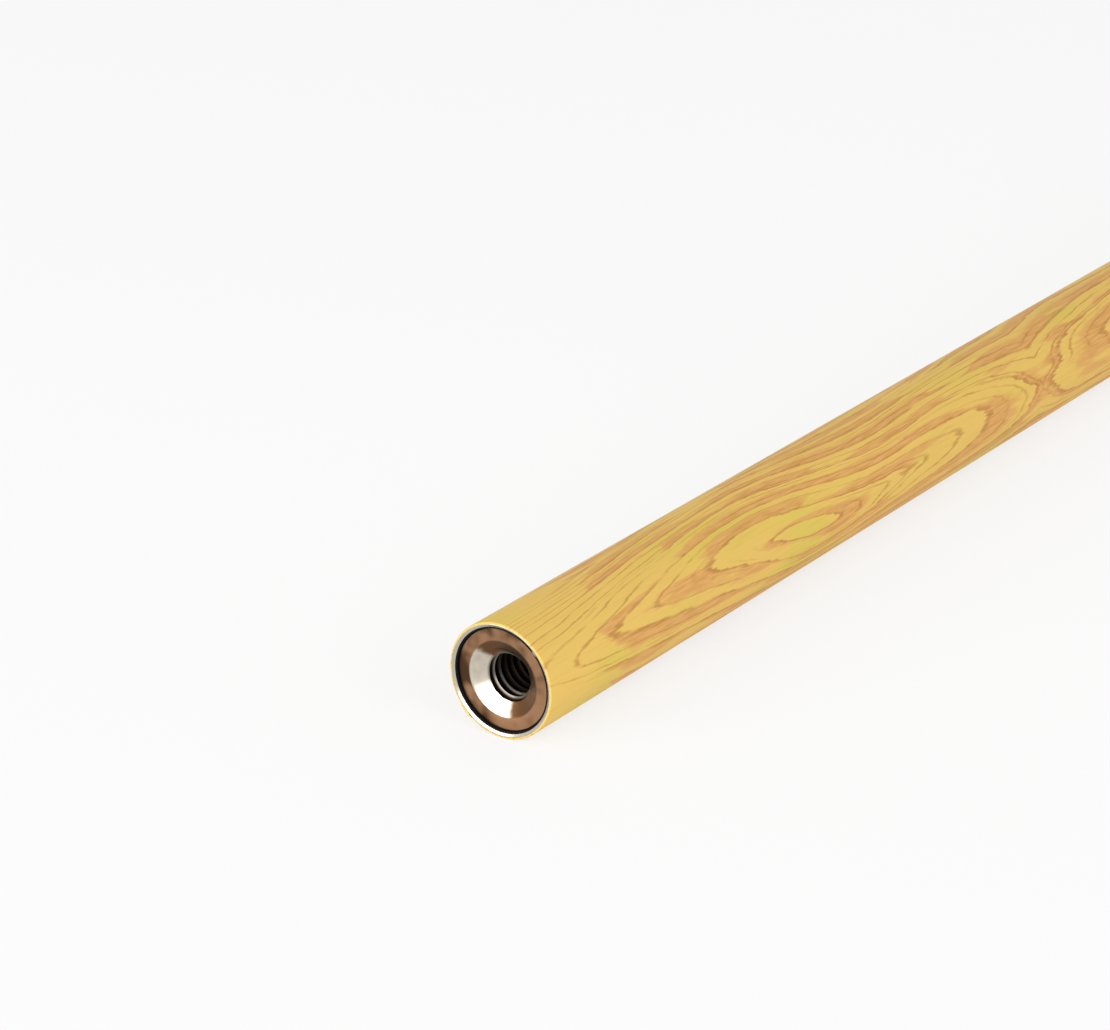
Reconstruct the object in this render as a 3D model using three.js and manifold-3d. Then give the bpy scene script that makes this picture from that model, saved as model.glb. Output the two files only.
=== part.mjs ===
// A roller extension pole of fixed length, in millimetres. A thin steel tube is wrapped in printed wood-grain
// film. A nylon bush holds a threaded steel socket in one end, and a moulded hanging cap closes the other.
// The pole lies along X with its socket at -X. The origin is on the floor, under the middle of its length.

import * as THREE from "three";
import { mergeVertices } from "three/addons/utils/BufferGeometryUtils.js";
import Module from "manifold-3d";

// Facets. The skins and all that fits in them share one count, so their flats lie face to face.
const SIDES = 32;
const THREAD_STEPS = 20;
const ARC_STEPS = 8;

// Clearances: round a plug, at a stop face, and for the glue under the film.
const FIT_GAP = 0.1;
const SEAT_GAP = 0.1;
const GLUE_GAP = 0.05;

// How far a cutting tool runs past the face that it cuts through.
const OVERRUN = 1;

// Film over the whole tube but for a bare rim at each end, its lap seam low on the far side.
const POLE_DIAMETER = 25.4;
const FILM_THICKNESS = 0.2;
const FILM_TRIM = 0.25;
const LAP_WIDTH = 2.4;
const LAP_ANGLE_DEG = -45;

// Tube, cut square, its edges broken, with the bead of its lengthwise weld inside. The mouth at the socket is
// countersunk, which leads the bush in.
const TUBE_LENGTH = 1160;
const TUBE_WALL = 0.85;
const TUBE_EDGE = 0.12;
const MOUTH_CHAMFER_WIDTH = 0.55;
const MOUTH_CHAMFER_DEPTH = 0.35;
const BEAD_WIDTH = 1.6;
const BEAD_HEIGHT = 0.3;
const BEAD_ANGLE_DEG = 135;

// Barbs, alike on the bush and on the cap's shank.
const BARB_HEIGHT = 0.35;
const BARB_PITCH = 3.2;

// Bush, with a thin skirt that lines the tube's mouth round the socket's flange.
const BUSH_LENGTH = 30;
const BUSH_SETBACK = 0.35;
const BUSH_LEAD = 1;
const BUSH_BARBS = 6;
const BUSH_REAR_DIAMETER = 14.4;
const SKIRT_WALL = 0.45;

// Socket, a flange with a countersink, then a knurled body with a groove for the bush's rib.
const FLANGE_RECESS = 0.85;
const FLANGE_THICKNESS = 1.7;
const FLANGE_CHAMFER = 0.15;
const SOCKET_LENGTH = 26;
const SOCKET_DIAMETER = 17;
const SOCKET_END_CHAMFER = 0.8;
const GROOVE_WIDTH = 2.4;
const GROOVE_DEPTH = 0.7;
const GROOVE_PLACE = 14;
const KNURL_TEETH = 24;
const KNURL_DEPTH = 0.35;
const COUNTERSINK_DIAMETER = 16.8;
const COUNTERSINK_DEPTH = 2.1;
const COUNTERSINK_FLOOR_DIAMETER = 10;

// Thread, right-handed, half an inch across and twelve turns to the inch, with flanks of a Whitworth form.
const THREAD_MAJOR_DIAMETER = 12.7;
const THREAD_MINOR_DIAMETER = 9.8;
const THREAD_PITCH = 2.12;
const THREAD_CREST = 0.36;
const THREAD_FLANK_DEG = 27.5;
const THREAD_EXIT_CHAMFER = 0.9;

// Hanging cap, a collar against the tube's end, a hollow slit shank, and a flat tongue with a hole.
const COLLAR_LENGTH = 4;
const COLLAR_EDGE = 0.8;
const SHANK_LENGTH = 28;
const SHANK_LEAD = 2;
const SHANK_WALL = 1.7;
const SHANK_FLOOR = 3;
const SHANK_BARBS = 5;
const SLITS = 4;
const SLIT_WIDTH = 2.2;
const SLIT_LENGTH = 16;
const TONGUE_LENGTH = 36;
const TONGUE_WIDTH = 20;
const TONGUE_THICKNESS = 8;
const TONGUE_STEP = 0.7;
const TONGUE_RAMP = 13;
const HOLE_DIAMETER = 9;
const HOLE_EDGE = 0.9;

const LOOKS = {
  steel: { color: 0xc9c6c0, roughness: 0.35, metalness: 1 },
  film: { color: 0xe2bf6c, roughness: 0.35, metalness: 0 },
  nylon: { color: 0x111111, roughness: 0.55, metalness: 0 },
  nickel: { color: 0xbcac9b, roughness: 0.16, metalness: 1 },
  plastic: { color: 0x1a1a1b, roughness: 0.45, metalness: 0 },
};

// Radii from the outside in. Places along the pole are measured from the cut end at the socket.
const poleRadius = POLE_DIAMETER / 2;
const filmInner = poleRadius - FILM_THICKNESS;
const tubeOuter = filmInner - GLUE_GAP;
const tubeInner = tubeOuter - TUBE_WALL;
const plugRadius = tubeInner - FIT_GAP;
const flangeBack = FLANGE_RECESS + FLANGE_THICKNESS;
const socketEnd = FLANGE_RECESS + SOCKET_LENGTH;
const bushEnd = BUSH_SETBACK + BUSH_LENGTH;
const collarStart = TUBE_LENGTH + SEAT_GAP;
const collarEnd = collarStart + COLLAR_LENGTH;
const poleEnd = collarEnd + TONGUE_LENGTH;

const wasm = await Module();
wasm.setup();

// A closed solid from a geometry, once its shared corners are merged.
function solid(geometry) {
  geometry.deleteAttribute("normal");
  geometry.deleteAttribute("uv");
  const merged = mergeVertices(geometry);
  return new wasm.Manifold(
    new wasm.Mesh({
      numProp: 3,
      vertProperties: merged.attributes.position.array,
      triVerts: new Uint32Array(merged.index.array),
    }),
  );
}

// A named mesh from a finished solid.
function piece(name, shape, look) {
  const { vertProperties, triVerts } = shape.getMesh();
  const geometry = new THREE.BufferGeometry()
    .setAttribute("position", new THREE.BufferAttribute(vertProperties, 3))
    .setIndex(new THREE.BufferAttribute(triVerts, 1));
  const mesh = new THREE.Mesh(
    geometry,
    new THREE.MeshStandardMaterial({ ...LOOKS[look], flatShading: true }),
  );
  mesh.name = name;
  return mesh;
}

// A solid turned about the pole's axis. Its section is a loop of [along, radius] points that runs outwards at
// the low end and inwards at the high one. The facets' flats, not their corners, stand at the radius.
function turned(section, sides = SIDES) {
  const cornerShare = 1 / Math.cos(Math.PI / sides);
  const points = section.map(([along, radius]) => new THREE.Vector2(radius * cornerShare, along));
  return solid(new THREE.LatheGeometry(points, sides, Math.PI / sides).rotateZ(-Math.PI / 2));
}

// A turned solid without a bore, from the points of its outside.
function turnedBar(outside, sides = SIDES) {
  const [start] = outside[0];
  const [end] = outside[outside.length - 1];
  return turned([[start, 0], ...outside, [end, 0]], sides);
}

// A straight round bar between two places, also the tool for a bore.
function bar(start, end, radius, sides = SIDES) {
  return turnedBar([[start, radius], [end, radius]], sides);
}

// A section of [outwards, sideways] points across the pole, carried along it. At zero degrees outwards is +Y,
// and the angle turns towards +Z.
function carried(section, start, end, degrees = 0) {
  const shape = new THREE.Shape(section.map(([outwards, sideways]) => new THREE.Vector2(outwards, sideways)));
  const geometry = new THREE.ExtrudeGeometry(shape, { depth: end - start, bevelEnabled: false });
  const acrossPole = new THREE.Matrix4().makeBasis(
    new THREE.Vector3(0, 1, 0),
    new THREE.Vector3(0, 0, 1),
    new THREE.Vector3(1, 0, 0),
  );
  return solid(geometry.applyMatrix4(acrossPole).translate(start, 0, 0)).rotate([degrees, 0, 0]);
}

// A strip of rectangular section between two distances from the axis.
function strip(inner, outer, width, start, end, degrees) {
  const half = width / 2;
  return carried([[inner, -half], [outer, -half], [outer, half], [inner, half]], start, end, degrees);
}

// The bead of the tube's weld, or with a clearance the groove that passes over it.
function weldBead(start, end, clearance) {
  const foot = tubeInner + TUBE_WALL / 2;
  const top = tubeInner - BEAD_HEIGHT - clearance;
  const halfFoot = BEAD_WIDTH / 2 + clearance;
  const halfTop = BEAD_WIDTH / 4 + clearance;
  const section = [[top, -halfTop], [foot, -halfFoot], [foot, halfFoot], [top, halfTop]];
  return carried(section, start, end, BEAD_ANGLE_DEG);
}

function steelTube() {
  const wall = turned([
    [MOUTH_CHAMFER_DEPTH, tubeInner],
    [0, tubeInner + MOUTH_CHAMFER_WIDTH],
    [0, tubeOuter - TUBE_EDGE],
    [TUBE_EDGE, tubeOuter],
    [TUBE_LENGTH - TUBE_EDGE, tubeOuter],
    [TUBE_LENGTH, tubeOuter - TUBE_EDGE],
    [TUBE_LENGTH, tubeInner + TUBE_EDGE],
    [TUBE_LENGTH - TUBE_EDGE, tubeInner],
    [MOUTH_CHAMFER_DEPTH, tubeInner],
  ]);
  return wall.add(weldBead(MOUTH_CHAMFER_DEPTH, TUBE_LENGTH - TUBE_EDGE, 0));
}

// The sleeve of film, with the doubled strip where its long edges lap.
function woodGrainFilm() {
  const start = FILM_TRIM;
  const end = TUBE_LENGTH - FILM_TRIM;
  const sleeve = turned([
    [start, filmInner],
    [start, poleRadius],
    [end, poleRadius],
    [end, filmInner],
    [start, filmInner],
  ]);
  const lapInner = poleRadius - FILM_THICKNESS / 2;
  const lapOuter = poleRadius + FILM_THICKNESS;
  return sleeve.add(strip(lapInner, lapOuter, LAP_WIDTH, start, end, LAP_ANGLE_DEG));
}

// Sawtooth points along a plug, from its low end to its high one. Each barb climbs from the end that enters
// the tube first to a steep back, which bites when the plug is pulled.
function barbs(start, count, entersHighEndFirst) {
  const root = plugRadius - BARB_HEIGHT;
  const points = [];
  for (let i = 0; i < count; i += 1) {
    const low = start + i * BARB_PITCH;
    const high = low + BARB_PITCH;
    const crest = entersHighEndFirst ? low : high;
    points.push([low, root], [crest, plugRadius], [high, root]);
  }
  return points;
}

// The socket's flange, inside the bush's skirt.
function flange() {
  const radius = plugRadius - SKIRT_WALL - FIT_GAP;
  return turnedBar([
    [FLANGE_RECESS, radius - FLANGE_CHAMFER],
    [FLANGE_RECESS + FLANGE_CHAMFER, radius],
    [flangeBack, radius],
  ]);
}

// The knurled body behind the flange, or with a clearance the cavity in the bush that takes it.
function knurledBody(clearance) {
  const radius = SOCKET_DIAMETER / 2 + clearance;
  const teeth = [];
  for (let i = 0; i < KNURL_TEETH * 2; i += 1) {
    const angle = (i * Math.PI) / KNURL_TEETH;
    const reach = i % 2 ? radius : radius - KNURL_DEPTH;
    teeth.push([reach * Math.cos(angle), reach * Math.sin(angle)]);
  }
  const start = flangeBack - FLANGE_THICKNESS / 2;
  const end = socketEnd + clearance;
  const grooveStart = FLANGE_RECESS + GROOVE_PLACE - GROOVE_WIDTH / 2 + clearance;
  const grooveEnd = FLANGE_RECESS + GROOVE_PLACE + GROOVE_WIDTH / 2 - clearance;
  const clear = radius + KNURL_DEPTH;
  const envelope = turnedBar([
    [start, clear],
    [grooveStart, clear],
    [grooveStart, radius - GROOVE_DEPTH],
    [grooveEnd, radius - GROOVE_DEPTH],
    [grooveEnd, clear],
    [end - SOCKET_END_CHAMFER - KNURL_DEPTH, clear],
    [end, radius - SOCKET_END_CHAMFER],
  ]);
  return carried(teeth, start, end + OVERRUN).intersect(envelope);
}

// What a tap cuts: a trapezoid carried along a right-hand helix, open to the bore inside it.
function threadGroove(start, end) {
  const minor = THREAD_MINOR_DIAMETER / 2;
  const inner = minor - OVERRUN / 2;
  const outer = THREAD_MAJOR_DIAMETER / 2;
  const slope = Math.tan(THREE.MathUtils.degToRad(THREAD_FLANK_DEG));
  const halfMouth = (THREAD_PITCH - THREAD_CREST) / 2;
  const halfInner = halfMouth + (minor - inner) * slope;
  const halfRoot = halfMouth - (outer - minor) * slope;
  const corners = [[-halfInner, inner], [-halfRoot, outer], [halfRoot, outer], [halfInner, inner]];
  const steps = Math.ceil(((end - start) / THREAD_PITCH) * THREAD_STEPS);
  const positions = [];
  const faces = [];
  for (let i = 0; i <= steps; i += 1) {
    const angle = (i / THREAD_STEPS) * 2 * Math.PI;
    const along = start + (i / THREAD_STEPS) * THREAD_PITCH;
    for (const [offset, radius] of corners) {
      positions.push(along + offset, radius * Math.cos(angle), radius * Math.sin(angle));
    }
  }
  for (let i = 0; i < steps; i += 1) {
    for (let j = 0; j < 4; j += 1) {
      const a = i * 4 + j;
      const b = i * 4 + ((j + 1) % 4);
      faces.push(a, a + 4, b, b, a + 4, b + 4);
    }
  }
  const last = steps * 4;
  faces.push(0, 1, 2, 0, 2, 3, last, last + 2, last + 1, last, last + 3, last + 2);
  const geometry = new THREE.BufferGeometry();
  geometry.setAttribute("position", new THREE.Float32BufferAttribute(positions, 3));
  geometry.setIndex(faces);
  return solid(geometry);
}

function threadedSocket() {
  const countersinkRadius = COUNTERSINK_DIAMETER / 2;
  const floorRadius = COUNTERSINK_FLOOR_DIAMETER / 2;
  const spread = (countersinkRadius - floorRadius) / COUNTERSINK_DEPTH;
  const minorRadius = THREAD_MINOR_DIAMETER / 2;
  const exitRadius = THREAD_MAJOR_DIAMETER / 2 + THREAD_EXIT_CHAMFER / 2;
  const front = FLANGE_RECESS - OVERRUN;
  const countersink = turnedBar([
    [front, countersinkRadius + OVERRUN * spread],
    [FLANGE_RECESS + COUNTERSINK_DEPTH, floorRadius],
    [FLANGE_RECESS + COUNTERSINK_DEPTH + floorRadius / spread, 0],
  ]);
  const bore = bar(front, socketEnd + OVERRUN, minorRadius, THREAD_STEPS);
  const exit = turnedBar([
    [socketEnd - THREAD_EXIT_CHAMFER, exitRadius - THREAD_EXIT_CHAMFER],
    [socketEnd + OVERRUN, exitRadius + OVERRUN],
  ]);
  return flange()
    .add(knurledBody(0))
    .subtract(threadGroove(FLANGE_RECESS, socketEnd + THREAD_PITCH))
    .subtract(bore)
    .subtract(countersink)
    .subtract(exit);
}

function socketBush() {
  const shoulder = flangeBack + FLANGE_THICKNESS;
  const outside = turnedBar([
    [BUSH_SETBACK, plugRadius],
    [shoulder, plugRadius],
    [shoulder, plugRadius - BARB_HEIGHT],
    ...barbs(bushEnd - BUSH_LEAD - BUSH_BARBS * BARB_PITCH, BUSH_BARBS, true),
    [bushEnd, plugRadius - BARB_HEIGHT - BUSH_LEAD],
  ]);
  const mouth = bar(BUSH_SETBACK - OVERRUN, flangeBack + SEAT_GAP, plugRadius - SKIRT_WALL);
  const rear = bar(socketEnd, bushEnd + OVERRUN, BUSH_REAR_DIAMETER / 2);
  return outside
    .subtract(mouth)
    .subtract(knurledBody(FIT_GAP))
    .subtract(rear)
    .subtract(weldBead(0, bushEnd + OVERRUN, FIT_GAP));
}

// A revolved paddle outline, flattened by two faces that sweep up into the collar.
function hangingTongue() {
  const halfWidth = TONGUE_WIDTH / 2;
  const halfThickness = TONGUE_THICKNESS / 2;
  const rootRadius = poleRadius - COLLAR_EDGE - TONGUE_STEP;
  const start = collarEnd - COLLAR_LENGTH / 2;
  const tipCentre = poleEnd - halfWidth;
  const outline = [[start, rootRadius], [collarEnd, rootRadius]];
  const sweep = [[start, poleRadius]];
  for (let i = 0; i <= ARC_STEPS; i += 1) {
    const angle = (i / ARC_STEPS) * (Math.PI / 2);
    outline.push([tipCentre + halfWidth * Math.sin(angle), halfWidth * Math.cos(angle)]);
    sweep.push([
      collarEnd + TONGUE_RAMP * (1 - Math.cos(angle)),
      halfThickness + (poleRadius - halfThickness) * (1 - Math.sin(angle)),
    ]);
  }
  sweep.push([poleEnd + OVERRUN, halfThickness]);
  const mirrored = sweep.map(([along, across]) => [along, -across]).reverse();
  const shape = new THREE.Shape([...mirrored, ...sweep].map(([along, across]) => new THREE.Vector2(along, across)));
  const flats = new THREE.ExtrudeGeometry(shape, { depth: POLE_DIAMETER, bevelEnabled: false });
  return turnedBar(outline.slice(0, -1).concat([[poleEnd, 0]])).intersect(solid(flats.translate(0, 0, -poleRadius)));
}

// The tool for the hanging hole, a bar across the tongue that widens at both faces to break the edges.
function hangingHole() {
  const radius = HOLE_DIAMETER / 2;
  const face = TONGUE_THICKNESS / 2;
  const section = [
    [0, -face - OVERRUN],
    [radius + HOLE_EDGE + OVERRUN, -face - OVERRUN],
    [radius, -face + HOLE_EDGE],
    [radius, face - HOLE_EDGE],
    [radius + HOLE_EDGE + OVERRUN, face + OVERRUN],
    [0, face + OVERRUN],
  ].map(([out, up]) => new THREE.Vector2(out, up));
  const tool = new THREE.LatheGeometry(section, SIDES);
  return solid(tool.translate(poleEnd - TONGUE_WIDTH / 2, 0, 0));
}

function hangingCap() {
  const shankStart = TUBE_LENGTH - SHANK_LENGTH;
  const root = plugRadius - BARB_HEIGHT;
  const body = turnedBar([
    [shankStart, root - SHANK_LEAD / 2],
    ...barbs(shankStart + SHANK_LEAD, SHANK_BARBS, false),
    [TUBE_LENGTH - COLLAR_LENGTH, root],
    [TUBE_LENGTH - COLLAR_LENGTH, plugRadius],
    [collarStart, plugRadius],
    [collarStart, poleRadius],
    [collarEnd - COLLAR_EDGE, poleRadius],
    [collarEnd, poleRadius - COLLAR_EDGE],
  ]);
  const hollow = bar(shankStart - OVERRUN, TUBE_LENGTH - SHANK_FLOOR, root - SHANK_WALL);
  let cap = body
    .add(hangingTongue())
    .subtract(hangingHole())
    .subtract(hollow)
    .subtract(weldBead(shankStart - OVERRUN, collarStart, FIT_GAP));
  for (let i = 0; i < SLITS; i += 1) {
    const degrees = (i * 360) / SLITS;
    cap = cap.subtract(strip(0, poleRadius, SLIT_WIDTH, shankStart - OVERRUN, shankStart + SLIT_LENGTH, degrees));
  }
  return cap;
}

const pole = new THREE.Group();
pole.add(
  piece("steel_tube", steelTube(), "steel"),
  piece("wood_grain_film", woodGrainFilm(), "film"),
  piece("socket_bush", socketBush(), "nylon"),
  piece("threaded_socket", threadedSocket(), "nickel"),
  piece("hanging_cap", hangingCap(), "plastic"),
);
pole.position.set(-poleEnd / 2, 0, poleRadius);

export default pole;
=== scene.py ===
"""A roller extension pole of fixed length, lying on a pale studio floor.

The sections follow the pole as it is put together: the tube, its wood-grain film, the bush, the threaded
socket and the hanging cap, then the studio. Sizes are in metres, and the pole lies along X.
"""

import bmesh
import bpy
import numpy as np
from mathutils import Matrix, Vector


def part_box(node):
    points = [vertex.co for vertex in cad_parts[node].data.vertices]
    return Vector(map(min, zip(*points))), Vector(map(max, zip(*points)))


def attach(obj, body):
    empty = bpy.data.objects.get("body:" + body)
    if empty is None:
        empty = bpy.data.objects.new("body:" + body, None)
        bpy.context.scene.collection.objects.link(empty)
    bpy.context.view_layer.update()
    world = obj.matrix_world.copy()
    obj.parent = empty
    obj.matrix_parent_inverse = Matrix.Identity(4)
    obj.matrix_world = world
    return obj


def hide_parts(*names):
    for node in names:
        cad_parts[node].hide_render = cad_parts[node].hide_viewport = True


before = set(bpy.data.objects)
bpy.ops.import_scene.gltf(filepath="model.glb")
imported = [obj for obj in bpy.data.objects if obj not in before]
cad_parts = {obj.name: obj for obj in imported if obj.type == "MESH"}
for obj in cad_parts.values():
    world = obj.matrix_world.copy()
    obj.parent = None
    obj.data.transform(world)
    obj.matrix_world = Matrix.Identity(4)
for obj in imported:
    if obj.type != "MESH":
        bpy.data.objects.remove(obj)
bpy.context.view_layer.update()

# The steel tube
# Thin strip is rolled round and welded along its length, which leaves a low bead inside. The tube is cut
# square, its mouth is countersunk and its outer edge rounded. Only the rims stay bare of film.
tube_low, tube_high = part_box("steel_tube")
mouth, tube_end = tube_low.x, tube_high.x
axis_height = (tube_low.z + tube_high.z) / 2
tube_outside = (tube_high.z - tube_low.z) / 2
tube_wall = 0.00085
tube_inside = tube_outside - tube_wall
broken_edge, shoulder = 0.00012, 0.00035
bead_width, bead_height, bead_angle = 0.0016, 0.0002, np.radians(135)


def columns(count, *marks):
    """Angles once round the axis, evenly spaced, with more at the marks."""
    return np.unique(np.concatenate([np.linspace(0, 2 * np.pi, count + 1), np.mod(marks, 2 * np.pi)]))


def around_axis(along, radius, angle):
    """Points round the pole's axis: x is the place along it, y is the radius times the angle's cosine, and z
    is the axis's height plus the radius times the angle's sine."""
    along, radius, angle = np.broadcast_arrays(along, radius, angle)
    return np.stack([along, radius * np.cos(angle), axis_height + radius * np.sin(angle)], axis=-1)


def eased(outline, ease, steps=5):
    """An open outline with its inner corners C eased: each gives way to (1-t)^2 A + 2t(1-t) C + t^2 B, where
    A and B lie the ease back along its two sides, or half a side where that is shorter."""
    outline = np.asarray(outline, float)
    before, corner, after = outline[:-2], outline[1:-1], outline[2:]
    ease = np.broadcast_to(ease, len(corner))[:, None]
    back, ahead = before - corner, after - corner
    back *= np.minimum(ease / np.linalg.norm(back, axis=1, keepdims=True), 0.5)
    ahead *= np.minimum(ease / np.linalg.norm(ahead, axis=1, keepdims=True), 0.5)
    t = np.linspace(0, 1, steps)[None, :, None]
    curve = (1 - t) ** 2 * (corner + back)[:, None] + 2 * t * (1 - t) * corner[:, None]
    curve = curve + t**2 * (corner + ahead)[:, None]
    return np.concatenate([outline[:1], curve.reshape(-1, 2), outline[-1:]])


def arc_from_bead(angle, radius):
    """The distance round a circle from the weld: the radius times the smaller angle between the two."""
    return np.abs(np.angle(np.exp(1j * (angle - bead_angle)))) * radius


def turned(outline, angle):
    """A surface of revolution: every point of an outline of (along, radius) carried once round the axis."""
    outline = np.asarray(outline, float)
    return around_axis(outline[:, :1], outline[:, 1:], angle[None, :])


def welded(name, sheets, prints=None, crease_deg=32):
    """A closed mesh from sheets, each a grid of points whose neighbours span quads. Points that coincide are
    merged, which closes the seams. A print is a grid of (u, v) that belongs to a sheet's points."""
    points, quads, start = [], [], 0
    for sheet in sheets:
        rows, across = sheet.shape[:2]
        index = start + np.arange(rows * across).reshape(rows, across)
        corners = [index[:-1, :-1], index[:-1, 1:], index[1:, 1:], index[1:, :-1]]
        quads.append(np.stack(corners, axis=-1).reshape(-1, 4))
        points.append(sheet.reshape(-1, 3))
        start += rows * across
    points, quads = np.concatenate(points), np.concatenate(quads)
    mesh = bpy.data.meshes.new(name)
    mesh.from_pydata(points.tolist(), [], quads.tolist())
    if prints is not None:
        flat = np.concatenate([p.reshape(-1, 2) for p in prints])[quads.reshape(-1)]
        mesh.uv_layers.new(name="print").uv.foreach_set("vector", flat.astype(np.float32).reshape(-1))
    weld = bmesh.new()
    weld.from_mesh(mesh)
    bmesh.ops.remove_doubles(weld, verts=weld.verts, dist=2e-6)
    bmesh.ops.dissolve_degenerate(weld, edges=weld.edges, dist=1e-7)
    bmesh.ops.recalc_face_normals(weld, faces=weld.faces)
    weld.to_mesh(mesh)
    weld.free()
    mesh.shade_smooth()
    mesh.set_sharp_from_angle(angle=np.radians(crease_deg))
    piece = bpy.data.objects.new(name, mesh)
    bpy.context.scene.collection.objects.link(piece)
    return piece


class Wire:
    """An output socket in a material. Arithmetic on wires adds Math nodes, and node() adds any other."""

    def __init__(self, tree, socket=None):
        self.tree, self.socket = tree, socket

    def node(self, kind, settings=None, inputs=None, output=0):
        """Adds a node, sets its settings first, then fills its sockets with values or wires."""
        made = self.tree.nodes.new(kind)
        for key, value in (settings or {}).items():
            setattr(made, key, value)
        for key, value in (inputs or {}).items():
            if isinstance(value, Wire):
                self.tree.links.new(value.socket, made.inputs[key])
            else:
                made.inputs[key].default_value = value
        return Wire(self.tree, made.outputs[output])

    def maths(self, operation, *values):
        return self.node("ShaderNodeMath", {"operation": operation}, dict(enumerate(values)))

    def __add__(self, other):
        return self.maths("ADD", self, other)

    def __sub__(self, other):
        return self.maths("SUBTRACT", self, other)

    def __rsub__(self, other):
        return self.maths("SUBTRACT", other, self)

    def __mul__(self, other):
        return self.maths("MULTIPLY", self, other)

    def __truediv__(self, other):
        return self.maths("DIVIDE", self, other)

    __radd__, __rmul__ = __add__, __mul__

    def step(self, low, high):
        """Climbs smoothly from 0 at low to 1 at high."""
        settings = {"interpolation_type": "SMOOTHSTEP"}
        return self.node("ShaderNodeMapRange", settings, {0: self, 1: low, 2: high})

    def noise(self, place, scale=1.0, detail=2.0, roughness=0.5):
        """Soft noise, about 0.5, at a place."""
        inputs = {"Vector": place, "Scale": scale, "Detail": detail, "Roughness": roughness}
        return self.node("ShaderNodeTexNoise", None, inputs)

    def place(self, x, y, z=0.0):
        return self.node("ShaderNodeCombineXYZ", None, {0: x, 1: y, 2: z})

    def spot(self):
        """The place of a point in the pole's own coordinates."""
        return self.node("ShaderNodeTexCoord", output="Object")

    def part(self, index):
        """One coordinate of a place."""
        return self.node("ShaderNodeSeparateXYZ", None, {0: self}, index)

    def mix(self, first, second):
        """The first colour where this is 0, the second where it is 1."""
        return self.node("ShaderNodeMix", {"data_type": "RGBA"}, {0: self, 6: first, 7: second}, 2)

    def bump(self, strength, distance):
        inputs = {"Strength": strength, "Distance": distance, "Height": self}
        return self.node("ShaderNodeBump", None, inputs)


def surface(name, **fixed):
    """A material with one Principled shader, the fixed values set on it, and a wire to draw from."""
    material = bpy.data.materials.new(name)
    material.use_nodes = True
    shader = material.node_tree.nodes["Principled BSDF"]
    for key, value in fixed.items():
        shader.inputs[key.replace("_", " ")].default_value = value
    return material, shader, Wire(material.node_tree)


def feed(shader, **wires):
    """Joins wires to a shader's sockets."""
    for key, wire in wires.items():
        wire.tree.links.new(wire.socket, shader.inputs[key.replace("_", " ")])


def finished(piece, node, material):
    """Gives a piece its material, lets it ride on the pole, and has it stand for its CAD node."""
    piece.data.materials.append(material)
    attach(piece, "root")
    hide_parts(node)


angles = columns(256)
# The shoulder s of the mouth's outer edge falls by s(1-t)^2 at s t^2 behind the mouth.
way = np.linspace(0, 1, 7)
rounded = np.stack([mouth + shoulder * way**2, tube_outside - shoulder * (1 - way) ** 2], axis=1)
far_rim = [
    (tube_end - shoulder, tube_outside),
    (tube_end, tube_outside),
    (tube_end, tube_inside),
    (tube_end - broken_edge, tube_inside),
]
wall_outline = np.concatenate([[(mouth + shoulder, tube_inside)], rounded, eased(far_rim, broken_edge)])
# The bead is level over the middle third of its width and slopes away at both sides.
bead = bead_height * np.clip(1.5 - arc_from_bead(angles, tube_inside) / (bead_width / 3), 0, 1)
bore_along = np.repeat([mouth + shoulder, tube_end - broken_edge], 2)[:, None]
bore_radius = tube_inside - bead * np.array([[0], [1], [1], [0]])
sheets = [turned(wall_outline, angles), around_axis(bore_along, bore_radius, angles)]
steel_tube = welded("tube_of_steel", sheets)

steel, steel_shader, draw = surface("cut_steel", Metallic=1.0)
spot = draw.spot()
filing = draw.noise(spot, 4200.0, 3.0)
feed(
    steel_shader,
    Base_Color=filing.mix((0.44, 0.40, 0.33, 1), (0.60, 0.555, 0.47, 1)),
    Roughness=filing * 0.2 + 0.16,
    Normal=filing.bump(0.25, 0.00004),
)
finished(steel_tube, "steel_tube", steel)

# The wood-grain film
# Satin plastic film, printed with a golden wood grain, is wrapped once round the tube and glued. Its outer
# edge laps over its inner one low on the far side. It hugs the mouth's rounded shoulder, cut at the rim.
film_low, film_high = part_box("wood_grain_film")
pole_radius = (film_high.z - film_low.z) / 2
film_thickness, lap_width, lap_angle = 0.0002, 0.0024, np.radians(-45)
lap_turn = lap_width / pole_radius
lap_climb, lap_lift = np.radians(6), 1.1 * film_thickness
trim, trim_wave = 0.000012, 0.000008

# The film leaves the tube by lift t^2 (3-2t), where t goes from 0 to 1 over the climb before the lap.
full_turn = 2 * np.pi
turn = [
    np.linspace(0, full_turn - lap_climb, 240),
    np.linspace(full_turn - lap_climb, full_turn, 8)[1:],
    np.linspace(full_turn, full_turn + lap_turn, 9)[1:],
]
turn = np.concatenate(turn)
climb = np.clip((turn - full_turn + lap_climb) / lap_climb, 0, 1)
lift = lap_lift * climb**2 * (3 - 2 * climb)
wrap = turn + lap_angle - lap_turn / 2
film_out = pole_radius + lift
film_in = film_out - film_thickness


def film_place(share, wrap):
    """Places along the film, from one trimmed end to the other. The cuts waver a little round the tube."""
    low = mouth + trim + trim_wave * np.sin(3 * wrap + 1) * np.sin(7 * wrap)
    high = film_high.x - trim_wave * np.sin(4 * wrap) * np.sin(5 * wrap + 2)
    return low + (high - low) * share


def hugging(along, radius):
    """A radius less the shoulder's fall, s(1 - sqrt(x/s))^2 at x behind the mouth, and nothing past s."""
    behind = np.clip((along - mouth) / shoulder, 0, 1)
    return radius - shoulder * (1 - np.sqrt(behind)) ** 2


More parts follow.
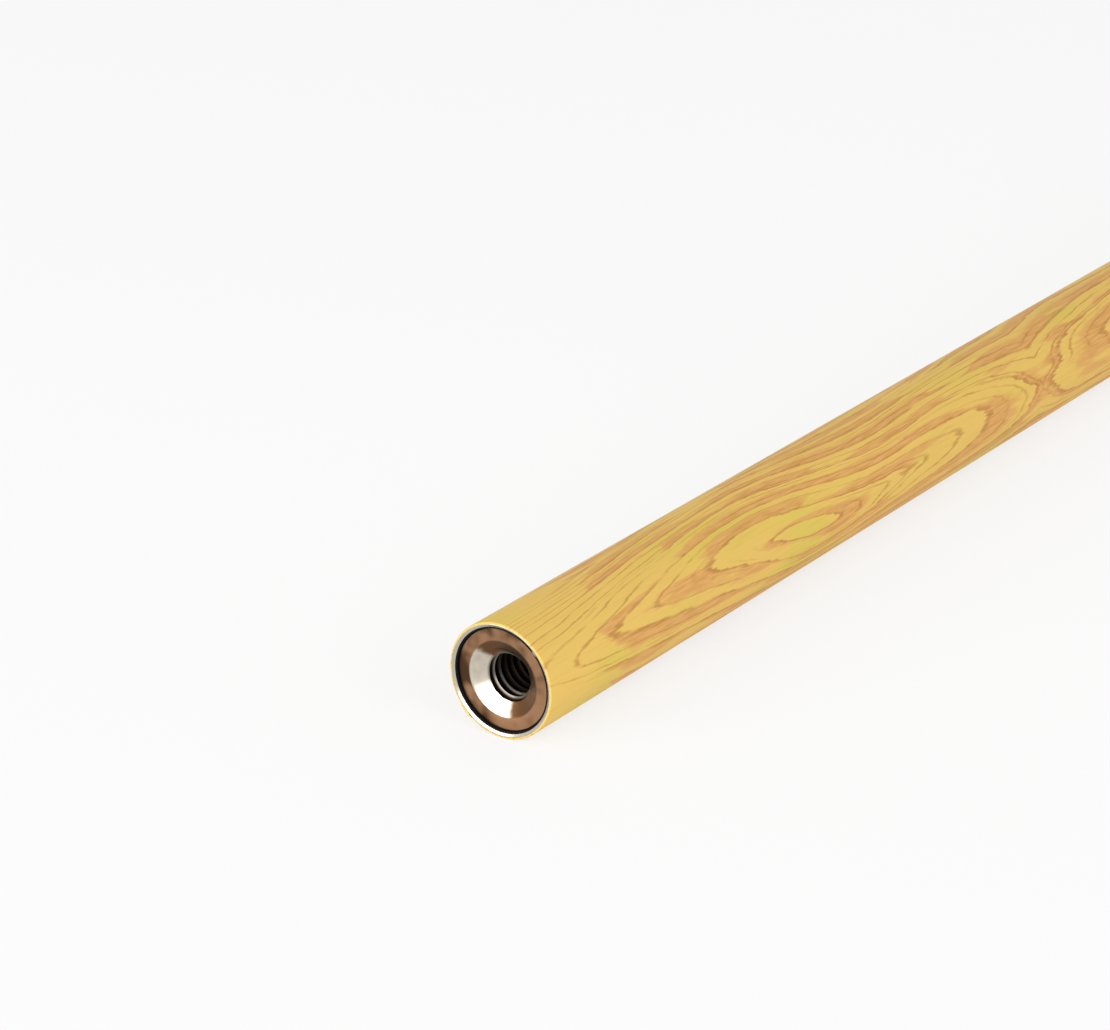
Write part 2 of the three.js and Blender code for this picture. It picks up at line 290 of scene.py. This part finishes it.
# The rows are close over the shoulder, which is a small share of the length, and even behind it.
shoulder_share = 0.0003
share = np.concatenate([np.linspace(0, shoulder_share, 8), np.linspace(0, 1, 41)[1:]])[None, :]
loop_wrap = np.concatenate([wrap, wrap[::-1], wrap[:1]])[:, None]
loop_radius = np.concatenate([film_out, film_in[::-1], film_out[:1]])[:, None]
cut_radius = np.stack([film_out, film_in], axis=1)
loop_along = film_place(share, loop_wrap)
sheets = [around_axis(loop_along, hugging(loop_along, loop_radius), loop_wrap)]
prints = [np.stack([loop_wrap * pole_radius + 0 * loop_along, loop_along], axis=-1)]
for end in (0, 1):
    cut_along = film_place(end, wrap)[:, None] + 0 * cut_radius
    sheets.append(around_axis(cut_along, hugging(cut_along, cut_radius), wrap[:, None]))
    prints.append(np.stack([wrap[:, None] * pole_radius + 0 * cut_radius, cut_along], axis=-1))
film = welded("printed_wood_grain_film", sheets, prints)

print_look, film_shader, draw = surface("golden_wood_grain_print", Specular_IOR_Level=0.06)
sheet_place = draw.node("ShaderNodeUVMap", {"uv_map": "print"})
across, along = sheet_place.part(0), sheet_place.part(1)


def blotches(width, length, seed, detail=1.0, roughness=0.5):
    """Soft noise about 0.5, in blotches of a width across the grain and a length along it."""
    return draw.noise(draw.place(across / width, along / length, seed), 1.0, detail, roughness)


# Growth rings on a board sawn past the heart of a trunk, as the distance from a heart line that wanders and
# dives. Where it comes up again, the rings close into eyes and arches. Beside it they run straight.
half_repeat = np.pi * pole_radius / 2
heart_line = np.radians(160) * pole_radius
wander = (blotches(0.050, 0.110, 12.0) - 0.5) * 0.018
from_heart = draw.maths("PINGPONG", across + wander - heart_line, half_repeat)
eye_place, eye_gap, dive_slope = 0.1005, 0.206, 0.115
travel = along - (film_low.x + eye_place) + (blotches(0.080, 0.130, 27.0) - 0.5) * 0.09
dive = draw.maths("PINGPONG", travel, eye_gap / 2) * dive_slope
ripple = (blotches(0.009, 0.070, 3.0) - 0.5) * 0.0036
ragged = (blotches(0.0008, 0.0090, 5.0, 3.0, 0.6) - 0.5) * 0.0011
grain = draw.maths("SQRT", from_heart * from_heart + dive * dive) + ripple
# Each ring has a dark line, then a tan band that fades out in streaks. Finer lines run between the rings,
# and fibres all over. By the mouth the bands are faint.
ring_gap, line_gap = 0.0033, 0.0013
ring = draw.maths("FRACT", (grain + ragged) / ring_gap + 0.62)
faint = 1 - (along - film_low.x).step(0.008, 0.036)
swell = blotches(0.007, 0.045, 24.0) + 0.05 - 0.27 * faint
streaks = blotches(0.0006, 0.008, 33.0, 2.0)
fibres = blotches(0.00045, 0.014, 52.0, 2.0, 0.6)
band = swell.step(0.38, 0.58) * 0.78 - ring + (streaks - 0.5) * 0.9
band = band.step(-0.02, 0.30) * ring.step(0.0, 0.06)
band_edge = ring.step(0.0, 0.04) * (1 - ring.step(0.05, 0.15)) * swell.step(0.32, 0.48)
line = draw.maths("FRACT", (grain + ragged * 0.6) / line_gap)
line = line.step(0.0, 0.10) * (1 - line.step(0.12, 0.26)) * blotches(0.010, 0.070, 61.0).step(0.38, 0.52)
dark = draw.maths("MAXIMUM", line * 0.85, band_edge * 0.9) * blotches(0.0015, 0.014, 71.0).step(0.20, 0.60)
golden = blotches(0.012, 0.040, 31.0).step(0.48, 0.74)
golden = golden.mix((0.800, 0.535, 0.138, 1), (0.720, 0.555, 0.112, 1))
golden = (fibres.step(0.45, 0.75) * 0.28).mix(golden, (0.67, 0.385, 0.088, 1))
tan = streaks.step(0.3, 0.7).mix((0.63, 0.300, 0.090, 1), (0.76, 0.41, 0.145, 1))
printed = (dark * 0.72).mix((band * 0.85).mix(golden, tan), (0.44, 0.195, 0.055, 1))
orange_peel = blotches(0.0012, 0.0014, 90.0, 2.0)
feed(
    film_shader,
    Base_Color=printed,
    Roughness=0.44 + 0.10 * orange_peel,
    Normal=(orange_peel * 0.5 + band * 0.3).bump(0.10, 0.00003),
)
finished(film, "wood_grain_film", print_look)

# The bush
# A black nylon moulding holds the socket in the tube. Its near-black colour is painted shade for the shaded
# gap at the mouth. A thin skirt lines the tube's mouth, barbs bite the wall behind it, and a rib inside
# springs into the socket's groove.
bush_low, bush_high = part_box("socket_bush")
plug_radius = (bush_high.z - bush_low.z) / 2
socket_low, socket_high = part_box("threaded_socket")
face_set_back, fit_gap, edge_ease = 0.0001, 0.0001, 0.00006
face, socket_rear = socket_low.x + face_set_back, socket_high.x
flange_radius, flange_thickness = 0.01114, 0.0017
flange_back = face + flange_thickness
barb_height, barb_pitch, barb_count, bush_lead = 0.00035, 0.0032, 6, 0.001
body_radius, knurl_teeth, knurl_depth = 0.0085, 24, 0.00035
groove_place, groove_width, groove_depth = 0.014, 0.0024, 0.0007
rear_radius = 0.0072


def knurl(angle, radius):
    """A toothed outline: the radius falls and climbs in straight lines, once for each tooth."""
    tooth = np.mod(angle * knurl_teeth / (2 * np.pi), 1)
    return radius - knurl_depth * np.abs(2 * tooth - 1)


def body_rows(clearance):
    """Places along the socket's body from the flange to behind the groove, how deep the groove is at each,
    and the radius over the teeth, all grown by a clearance."""
    middle = face + groove_place
    half = groove_width / 2 - clearance
    along = np.array([flange_back, middle - half, middle - half, middle + half, middle + half])
    depth = np.array([0, 0, groove_depth, groove_depth, 0])
    return along, depth, body_radius + clearance


# A groove passes over the weld bead. Each of its sides stands between two columns that all but coincide.
bead_clear = bead_width / 2 + fit_gap
groove_side, groove_floor = 1.0005 * bead_clear, tube_inside - bead_height - fit_gap
side_columns = np.array([-1.001, -1, 1, 1.001]) * bead_clear / plug_radius
angles = columns(384, *(bead_angle + side_columns))
over_bead = arc_from_bead(angles, plug_radius) <= groove_side
clear_of_bead = np.where(over_bead, groove_floor, plug_radius)
barb_start = bush_high.x - bush_lead - barb_count * barb_pitch
barb = barb_start + barb_pitch * np.arange(barb_count)
root = plug_radius - barb_height
barbs = [*zip(np.repeat(barb, 2), np.tile([root, plug_radius], barb_count)), (barb[-1] + barb_pitch, root)]
skirt_end = flange_back + flange_thickness
skirt_inside = flange_radius + fit_gap
seat, rear_stop = flange_back + fit_gap, socket_rear + fit_gap
outside_outline = [
    (seat, skirt_inside),
    (bush_low.x, skirt_inside),
    (bush_low.x, plug_radius),
    (skirt_end, plug_radius),
    (skirt_end, root),
    *barbs,
    (bush_high.x, root - bush_lead),
    (bush_high.x, rear_radius),
    (rear_stop, rear_radius),
]
# The bush is made of its outside, the cavity round the socket's body, the step under the flange before it
# and the stop behind it.
outside_outline = eased(outside_outline, edge_ease, 4)
outside_radius = np.minimum(outside_outline[:, 1:], clear_of_bead[None, :])
outside = around_axis(outside_outline[:, :1], outside_radius, angles)
cavity_along, cavity_depth, cavity_radius = body_rows(fit_gap)
cavity_along = np.append(cavity_along, rear_stop)
cavity_depth = np.append(cavity_depth, 0)
cavity_along[0] = seat
teeth = knurl(angles, cavity_radius)
cavity_radii = np.minimum(teeth[None, :], cavity_radius - cavity_depth[:, None])
cavity = around_axis(cavity_along[:, None], cavity_radii, angles)
step = around_axis(seat, np.stack([skirt_inside + 0 * angles, teeth]), angles)
stop = around_axis(rear_stop, np.stack([teeth, rear_radius + 0 * angles]), angles)
bush = welded("nylon_socket_bush", [outside, step, cavity, stop])

nylon_and_painted_shade, nylon_shader, draw = surface("black_nylon", Specular_IOR_Level=0.15)
spot = draw.spot()
mould = draw.noise(spot, 2600.0, 3.0)
feed(
    nylon_shader,
    # Painted shade: a near-black colour, darker than nylon, for the shaded gap at the mouth.
    Base_Color=mould.mix((0.003, 0.003, 0.003, 1), (0.006, 0.006, 0.006, 1)),
    Roughness=mould * 0.15 + 0.7,
    Normal=mould.bump(0.2, 0.00003),
)
finished(bush, "socket_bush", nylon_and_painted_shade)

# The threaded socket
# Turned from steel bar and nickel plated. A flange with a wide countersink leads a stud into a coarse
# right-hand thread with broad crests, and the knurled body keeps the socket from turning in its bush.
flange_chamfer, end_chamfer = 0.00012, 0.0008
sink_radius, sink_depth, sink_floor = 0.0083, 0.0021, 0.0050
thread_outer, thread_inner, pitch, crest = 0.00635, 0.0049, 0.00212, 0.00036
flank_run = (thread_outer - thread_inner) * np.tan(np.radians(27.5))
exit_chamfer = 0.0009
exit_radius = thread_outer + exit_chamfer / 2
groove_mouth = (pitch - crest) / 2
thread_start, sink_rounding = 0.44 * pitch, 0.0002


def bore_radius_at(along, angle):
    """The bore's radius: the largest of the thread, the countersink's cone and the exit's cone. The thread
    is a trapezoid of the distance from the nearest groove's middle, which moves one pitch a turn. The
    cone's edge flares out by half the rounding times (1-u)^2, where u goes from 0 to 1 over the rounding."""
    turns = (along - face - thread_start) / pitch - angle / (2 * np.pi)
    off_middle = np.abs(turns - np.round(turns)) * pitch
    cut = np.clip((groove_mouth - off_middle) / flank_run, 0, 1)
    thread = thread_inner + (thread_outer - thread_inner) * cut
    sink = sink_radius - (along - face) * (sink_radius - sink_floor) / sink_depth
    sink = sink + sink_rounding / 2 * np.clip(1 - (along - face) / sink_rounding, 0, 1) ** 2
    leave = exit_radius - (socket_rear - along)
    return np.maximum(thread, np.maximum(sink, leave))


# Rows stand at every bend of the thread's outline and a little to both sides of it.
bend_ease, crest_row = 0.00003, 0.0002
bends = np.array([groove_mouth - flank_run, groove_mouth - flank_run / 2, groove_mouth])
crest_rows = [pitch / 2 - crest_row, pitch / 2]
coarse_off = np.concatenate([[0], bends - bend_ease, bends, bends + bend_ease, crest_rows])
fine_off = np.concatenate([coarse_off, np.linspace(0, pitch / 2, 17)])
angles = columns(8 * knurl_teeth)


def helix_rows(offsets, first, last):
    """Heights along the axis, one row for each offset either side of a groove's middle in every turn."""
    both = np.unique(np.concatenate([-offsets, offsets]).round(7))[1:]
    return (both[None, :] + pitch * np.arange(first, last)[:, None]).reshape(-1)


# The countersink needs fine rows. In the turn behind it they close up, until each meets a coarse one.
turn_count = int(np.ceil((socket_rear - face) / pitch)) + 1
closing, kept = helix_rows(fine_off, 1, 2), helix_rows(coarse_off, 1, 2)
drift = kept[np.abs(closing[:, None] - kept).argmin(axis=1)] - closing
fine, coarse = helix_rows(fine_off, -2, 1), helix_rows(coarse_off, 2, turn_count)
rows = np.concatenate([fine, closing, coarse])[:, None]
drift = np.concatenate([0 * fine, drift, 0 * coarse])[:, None]
# Each row climbs one pitch in a turn, and is held between the face and the rear.
bore_along = face + thread_start + rows + (pitch + drift) * angles / (2 * np.pi)
bore_along = np.clip(bore_along, face, socket_rear)
bore = around_axis(bore_along, bore_radius_at(bore_along, angles[None, :]), angles)
along, depth, radius = body_rows(0.0)
rear_along = np.array([socket_rear - end_chamfer, socket_rear, socket_rear])
body_along = np.concatenate([along, rear_along])
body_depth = np.concatenate([depth, [0, end_chamfer, radius - exit_radius]])
teeth = knurl(angles, radius)
body = around_axis(body_along[:, None], np.minimum(teeth[None, :], radius - body_depth[:, None]), angles)
flange_outline = [
    (face, sink_radius + sink_rounding / 2),
    (face, flange_radius - flange_chamfer),
    (face + flange_chamfer, flange_radius),
    (flange_back, flange_radius),
    (flange_back, body_radius),
]
flange = turned(eased(flange_outline, edge_ease), angles)
foot = around_axis(flange_back, np.stack([body_radius + 0 * angles, teeth]), angles)
socket = welded("nickel_threaded_socket", [bore, body, flange, foot])

nickel, nickel_shader, draw = surface("nickel_plate", Metallic=1.0)
spot = draw.spot()
side, up = spot.part(1), spot.part(2) - axis_height
reach = draw.maths("SQRT", side * side + up * up)
lathe_marks = draw.noise(draw.place(reach * 9000.0, spot.part(0) * 9000.0), 1.0, 2.0)
stains = draw.noise(spot, 420.0, 3.0)
# Painted reflection: noise patches that vary the painted brown reflection on the flange.
painted_reflection_patches = draw.noise(draw.place(15.3, side * 130.0 + 3.0, up * 130.0), 1.0, 2.0, 0.6).step(0.36, 0.62)
# Painted reflection: brown in patches on the flange, darker in the countersink, and a painted highlight on
# one side.
on_flange = reach.step(sink_radius - 0.0001, sink_radius + 0.0003)
# Painted reflection: patchy brown on the flange, darker brown in the countersink.
flange_painted_reflection = painted_reflection_patches.mix((0.36, 0.195, 0.102, 1), (0.08, 0.037, 0.018, 1))
painted_brown_reflection = on_flange.mix((0.14, 0.065, 0.028, 1), flange_painted_reflection)
# Painted highlight: a lighter nickel colour, varied by stains, on one side of the countersink.
painted_highlight = stains.step(0.3, 0.75).mix((0.62, 0.565, 0.475, 1), (0.52, 0.455, 0.365, 1))
painted_highlight_turn = np.radians(-30)
painted_highlight_side = (side * np.cos(painted_highlight_turn) + up * np.sin(painted_highlight_turn)) / reach + (stains - 0.5) * 0.3
painted_highlight_side = painted_highlight_side.step(0.24, 0.47) * (1 - on_flange)
# Painted shade: duller in the bore, near-black in the thread's grooves, and near-black past the first turns.
depth_in = spot.part(0) - face
bore_start, bore_edge = 0.0020, 0.0067
in_bore = depth_in.step(bore_start - 0.0002, bore_start + 0.0002)
# Painted shade: a dull dark colour over the bore past the countersink.
painted_bore_shade = in_bore * (1 - reach.step(bore_edge - 0.0001, bore_edge + 0.0001))
plating_with_painted_light = painted_bore_shade.mix(painted_highlight_side.mix(painted_brown_reflection, painted_highlight), (0.16, 0.138, 0.115, 1))
sink_slope = (sink_radius - sink_floor) / sink_depth
crests = draw.maths("MAXIMUM", sink_radius - depth_in * sink_slope, thread_inner)
in_groove = (reach - crests).step(0.0001, 0.0006)
# Painted shade: near-black in the grooves and everywhere past the first turns.
painted_deep_shade = draw.maths("MAXIMUM", in_groove, depth_in.step(2 * pitch, 3 * pitch))
painted_deep_shade = painted_deep_shade * (1 - reach.step(bore_edge + 0.0001, bore_edge + 0.0003))
feed(
    nickel_shader,
    # Painted shade: near-black where the deep shade mask is set.
    Base_Color=painted_deep_shade.mix(plating_with_painted_light, (0.009, 0.006, 0.004, 1)),
    Roughness=0.28 + 0.08 * stains + 0.05 * lathe_marks - 0.12 * painted_highlight_side + 0.15 * painted_deep_shade,
    Normal=(lathe_marks + 0.5 * stains).bump(0.10, 0.00003),
)
finished(socket, "threaded_socket", nickel)

# The hanging cap
# One black plastic moulding: a slit, barbed shank in the tube, a collar against the tube's end, and a flat
# tongue with a hole to hang the pole by. The mould's parting line runs round the tongue's edge.
cap_low, cap_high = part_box("hanging_cap")
shank_start, pole_end = cap_low.x, cap_high.x
shank_lead, shank_barbs, shank_wall, shank_floor = 0.002, 5, 0.0017, 0.003
slit_width, slit_length = 0.0022, 0.016
collar_length, collar_edge, collar_ease = 0.004, 0.0008, 0.00025
collar_start = tube_end + fit_gap
collar_end = collar_start + collar_length
barb = shank_start + shank_lead + barb_pitch * np.arange(shank_barbs)
barbs = [(barb[0], root), *zip(np.repeat(barb + barb_pitch, 2), np.tile([plug_radius, root], shank_barbs))]
slit_end = shank_start + slit_length
slit_foot = root + barb_height * np.mod((slit_end - barb[0]) / barb_pitch, 1)
shank_points = [(shank_start, root - shank_lead / 2), *barbs, (slit_end, slit_foot)]
shank_points.sort(key=lambda point: point[0])
tongue_step, fillet = 0.0007, 0.0003
tongue_root = pole_radius - collar_edge - tongue_step
collar_points = [
    (tube_end - collar_length, root),
    (tube_end - collar_length, plug_radius),
    (collar_start, plug_radius),
    (collar_start, pole_radius),
    (collar_end - collar_edge, pole_radius),
    (collar_end, pole_radius - collar_edge),
    (collar_end, tongue_root + fillet),
]
corner_ease = np.repeat([edge_ease, collar_ease], [len(shank_points) + 1, 4])
outline = eased(shank_points + collar_points, corner_ease, 3)
slit_row = np.abs(outline[:, 0] - slit_end).argmin()
slit_turn = np.arcsin(slit_width / 2 / outline[slit_row, 1])

half_width, half_thickness = 0.010, 0.004
tongue_ramp, soft_edge = 0.013, 0.0012
hole_radius, hole_edge, block = 0.0045, 0.0009, 0.0059
tip_centre = pole_end - half_width
block_turn = np.arctan(block / half_thickness)
parting_height, parting_turn, parting_rise = 0.00005, 0.015, 0.0005

quarter = np.pi / 2
slit_sides = np.add.outer(quarter * np.arange(4), [-slit_turn, slit_turn]).reshape(-1)
groove_sides = np.concatenate([bead_angle + quarter + side_columns, -bead_angle - quarter + side_columns])
block_sides = np.array([1, 1, 3, 3]) * quarter + np.array([-1, 1, -1, 1]) * block_turn
parting_sides = np.array([-1, 0, 1, -1, 0, 1]) * parting_turn + np.array([0, 0, 0, 2, 2, 2]) * quarter
angles = columns(192, *slit_sides, *groove_sides, *block_sides, *parting_sides) - quarter


def beside_slits(angle, radius):
    """Angles turned a little, so that each slit keeps straight sides: the side of a slit goes to the arcsine
    of half its width over the radius, and all other angles keep their share of the way between the slits."""
    slit = np.round(angle / quarter) * quarter
    off = np.abs(angle - slit)
    side = np.arcsin(slit_width / 2 / radius)
    beyond = side + (off - slit_turn) * (quarter / 2 - side) / (quarter / 2 - slit_turn)
    return slit + np.sign(angle - slit) * np.where(off <= slit_turn, off * side / slit_turn, beyond)


def flattened(across, thickness, angle):
    """The radius at an angle of a round bar between two flat faces: the smaller of the bar's radius and the
    half thickness over the cosine, less h^2 k/4 where h falls from 1 to 0 as the two differ by up to k."""
    flat = thickness / np.maximum(np.abs(np.cos(angle)), 1e-6)
    near = np.clip(1 - np.abs(across - flat) / soft_edge, 0, 1)
    return np.minimum(across, flat) - near**2 * soft_edge / 4


def column_at(angle):
    """The column of the grids that is nearest to an angle."""
    return np.abs(angles - angle).argmin()


shank_turn = np.where(outline[:, :1] <= slit_end + 1e-9, beside_slits(angles, outline[:, 1:]), angles)
in_tube = outline[:, :1] < collar_start - 1e-9
over_bead = in_tube & (arc_from_bead(angles, plug_radius) <= groove_side)
shell_radius = np.where(over_bead, np.minimum(outline[:, 1:], groove_floor), outline[:, 1:])
shell = around_axis(outline[:, :1], shell_radius, shank_turn)

hollow_radius, hollow_end = root - shank_wall, tube_end - shank_floor
hollow_along = np.concatenate([outline[: slit_row + 1, 0], np.repeat(hollow_end, 3)])
hollow_radii = hollow_radius * np.concatenate([np.ones(slit_row + 2), [0.5, 0]])
hollow = around_axis(hollow_along[:, None], hollow_radii[:, None], beside_slits(angles, hollow_radius))

# The slits part the shank into four prongs. Behind them the shell and the hollow are whole.
sheets = [shell[slit_row:], hollow[slit_row:]]
slits = quarter * np.arange(-1, 4)
for low, high in zip(slits[:-1], slits[1:]):
    prong = slice(column_at(low + slit_turn), column_at(high - slit_turn) + 1)
    outer, inner = shell[: slit_row + 1, prong], hollow[: slit_row + 1, prong]
    sheets += [outer, inner, np.stack([outer[0], inner[0]])]
    sheets += [np.stack([outer[:, side], inner[:, side]]) for side in (0, -1)]
for low, high in zip(slits - slit_turn, slits + slit_turn):
    gap = slice(column_at(low), column_at(high) + 1)
    sheets.append(np.stack([shell[slit_row, gap], hollow[slit_row, gap]]))

# The tongue's half width tapers in a straight line and ends in a half circle. Its half thickness falls
# along a quarter of an ellipse to the flat blade, and a small fillet joins the tongue to the collar.
sweep = np.linspace(0, quarter, 22)
ramp = collar_end + tongue_ramp * (1 - np.cos(sweep))
in_fillet = collar_end + fillet * np.linspace(0, 1, 5)[1:] ** 2
blade = np.linspace(ramp[-1], tip_centre - block, 7)
middle = np.linspace(tip_centre - block, tip_centre + block, 25)
tip = tip_centre + half_width * np.sin(np.linspace(np.arcsin(block / half_width), quarter, 17))
along = np.unique(np.concatenate([ramp, in_fillet, blade, middle, tip]).round(9))
along[[0, -1]] = collar_end, pole_end
taper = np.clip((along - collar_end) / (tip_centre - collar_end), 0, 1)
across = tongue_root + (half_width - tongue_root) * taper
round_tip = np.sqrt(np.maximum(half_width**2 - (along - tip_centre) ** 2, 0))
across = np.where(along > tip_centre, round_tip, across)
across += fillet * (1 - np.sqrt(np.clip((along - collar_end) / fillet, 0, 1))) ** 2
swept = np.clip(1 - (along - collar_end) / tongue_ramp, 0, 1)
thickness = half_thickness + (pole_radius - half_thickness) * (1 - np.sqrt(1 - swept**2))
parting = parting_height * np.clip(1 - np.abs(np.cos(angles)) / parting_turn, 0, 1)
raised = np.clip((along - collar_end) / parting_rise, 0, 1) * across / half_width
tongue_radius = flattened(across[:, None], thickness[:, None], angles) + raised[:, None] * parting
tongue_radius[0], tongue_radius[-1] = tongue_root + fillet, 0
tongue = around_axis(along[:, None], tongue_radius, angles)

# The hole is cut from a block of the tongue. Straight lines join the block's border to the rounded rim.
first = np.abs(along - (tip_centre - block)).argmin()
last = np.abs(along - (tip_centre + block)).argmin()
left, right = column_at(-block_turn), column_at(block_turn)
far_left, far_right = column_at(2 * quarter - block_turn), column_at(2 * quarter + block_turn)
sheets += [tongue[: first + 1], tongue[last:]]
beside_block = slice(left + 1), slice(right, far_left + 1), slice(far_right, None)
sheets += [tongue[first : last + 1, span] for span in beside_block]
border = [
    tongue[first, left : right + 1],
    tongue[first + 1 : last + 1, right],
    tongue[last, left:right][::-1],
    tongue[first:last, left][::-1],
]
border = np.concatenate(border)
round_hole = np.arctan2(border[:, 2] - axis_height, border[:, 0] - tip_centre)
bend = np.linspace(0, quarter, 8)[:, None]
hole_out = hole_radius + hole_edge * (1 - np.sin(bend))
hole_in = half_thickness - hole_edge * (1 - np.cos(bend)) + 0 * round_hole
hole_along = tip_centre + hole_out * np.cos(round_hole)
hole_up = axis_height + hole_out * np.sin(round_hole)
rim = np.stack([hole_along, hole_in, hole_up], axis=-1)
way = np.linspace(0, 1, 6)[:-1, None, None]
hole = np.concatenate([border + (rim[0] - border) * way, rim])
sheets.append(np.concatenate([hole, hole[::-1] * (1, -1, 1)]))
cap = welded("moulded_hanging_cap", sheets)

cap_plastic, cap_shader, draw = surface("black_moulded_plastic", IOR=1.5)
spot = draw.spot()
mould = draw.noise(spot, 1100.0, 4.0, 0.65)
feed(
    cap_shader,
    Base_Color=mould.mix((0.012, 0.012, 0.013, 1), (0.022, 0.022, 0.023, 1)),
    Roughness=mould * 0.28 + 0.30,
    Normal=mould.bump(0.5, 0.00012),
)
finished(cap, "hanging_cap", cap_plastic)

# The studio
# A wide pale floor under an even white sky. One soft box stands low before the socket's end, and one lights
# the pole from the side and a little above.
floor_half = 15.0
floor_corners = [(x * floor_half, y * floor_half, 0) for x, y in ((-1, -1), (1, -1), (1, 1), (-1, 1))]
floor_mesh = bpy.data.meshes.new("floor")
floor_mesh.from_pydata(floor_corners, [], [(0, 1, 2, 3)])
floor = bpy.data.objects.new("floor", floor_mesh)
bpy.context.scene.collection.objects.link(floor)


def seen(draw):
    """1 for rays from the camera, off a glossy surface or through a clear one, and 0 for all others."""
    rays = draw.node("ShaderNodeLightPath", output="Is Camera Ray")
    for kind in ("Is Glossy Ray", "Is Transmission Ray"):
        rays = rays + draw.node("ShaderNodeLightPath", output=kind)
    return draw.maths("MINIMUM", rays, 1.0)


floor_glow = 0.75
paper, paper_shader, draw = surface("pale_floor", Roughness=0.9, Base_Color=(0.93, 0.93, 0.93, 1))
lit = Wire(paper.node_tree, paper_shader.outputs[0])
glow = draw.node("ShaderNodeEmission", None, {"Color": (1, 1, 1, 1), "Strength": 1.0})
mixed = draw.node("ShaderNodeMixShader", None, {0: seen(draw) * floor_glow, 1: lit, 2: glow})
floor_output = paper.node_tree.nodes["Material Output"]
paper.node_tree.links.new(mixed.socket, floor_output.inputs["Surface"])
floor_mesh.materials.append(paper)

world = bpy.data.worlds.new("even_sky")
bpy.context.scene.world = world
world.use_nodes = True
sky = world.node_tree.nodes["Background"]
sky.inputs["Color"].default_value = (1, 1, 1, 1)
sky_light = 0.5
strength = sky_light + (1 - sky_light) * seen(Wire(world.node_tree))
world.node_tree.links.new(strength.socket, sky.inputs["Strength"])


def soft_lamp(name, place, target, width, height, power):
    """A soft box that faces its target."""
    lamp = bpy.data.lights.new(name, "AREA")
    lamp.shape = "RECTANGLE"
    lamp.size, lamp.size_y = width, height
    lamp.energy = power
    holder = bpy.data.objects.new(name, lamp)
    holder.location = place
    holder.rotation_euler = (Vector(target) - Vector(place)).to_track_quat("-Z", "Y").to_euler()
    bpy.context.scene.collection.objects.link(holder)


soft_lamp("end_lamp", (-2.45, 0.33, 0.70), (mouth, 0, 0), 3.0, 1.2, 42)
soft_lamp("side_lamp", (-0.9, -2.2, 1.35), (-0.3, 0, 0), 1.8, 1.8, 24)

# The camera
# It stands where the photograph was taken from. A place in the picture, in pixels from its middle, and a
# depth fix the socket end, and the two vanishing slopes of the pole fix the view.
picture_width, focal_pixels = 1110, 3700
end_right, end_down = -55, 166.3
end_depth = 0.747
turn_angle, tilt_angle = np.radians(-54.6), np.radians(22.93)
ahead = Vector(
    (-np.sin(turn_angle) * np.cos(tilt_angle), np.cos(turn_angle) * np.cos(tilt_angle), -np.sin(tilt_angle))
)
right = Vector((np.cos(turn_angle), np.sin(turn_angle), 0))
upward = right.cross(ahead)
sight = ahead + right * (end_right / focal_pixels) - upward * (end_down / focal_pixels)
camera_data = bpy.data.cameras.new("camera")
camera_data.sensor_width = 36
camera_data.lens = camera_data.sensor_width * focal_pixels / picture_width
camera_data.clip_start = 0.01
camera = bpy.data.objects.new("camera", camera_data)
camera.location = Vector((mouth, 0, axis_height)) - sight * end_depth
camera.rotation_euler = ahead.to_track_quat("-Z", "Y").to_euler()
bpy.context.scene.collection.objects.link(camera)
bpy.context.scene.camera = camera
bpy.context.scene.view_settings.view_transform = "Standard"
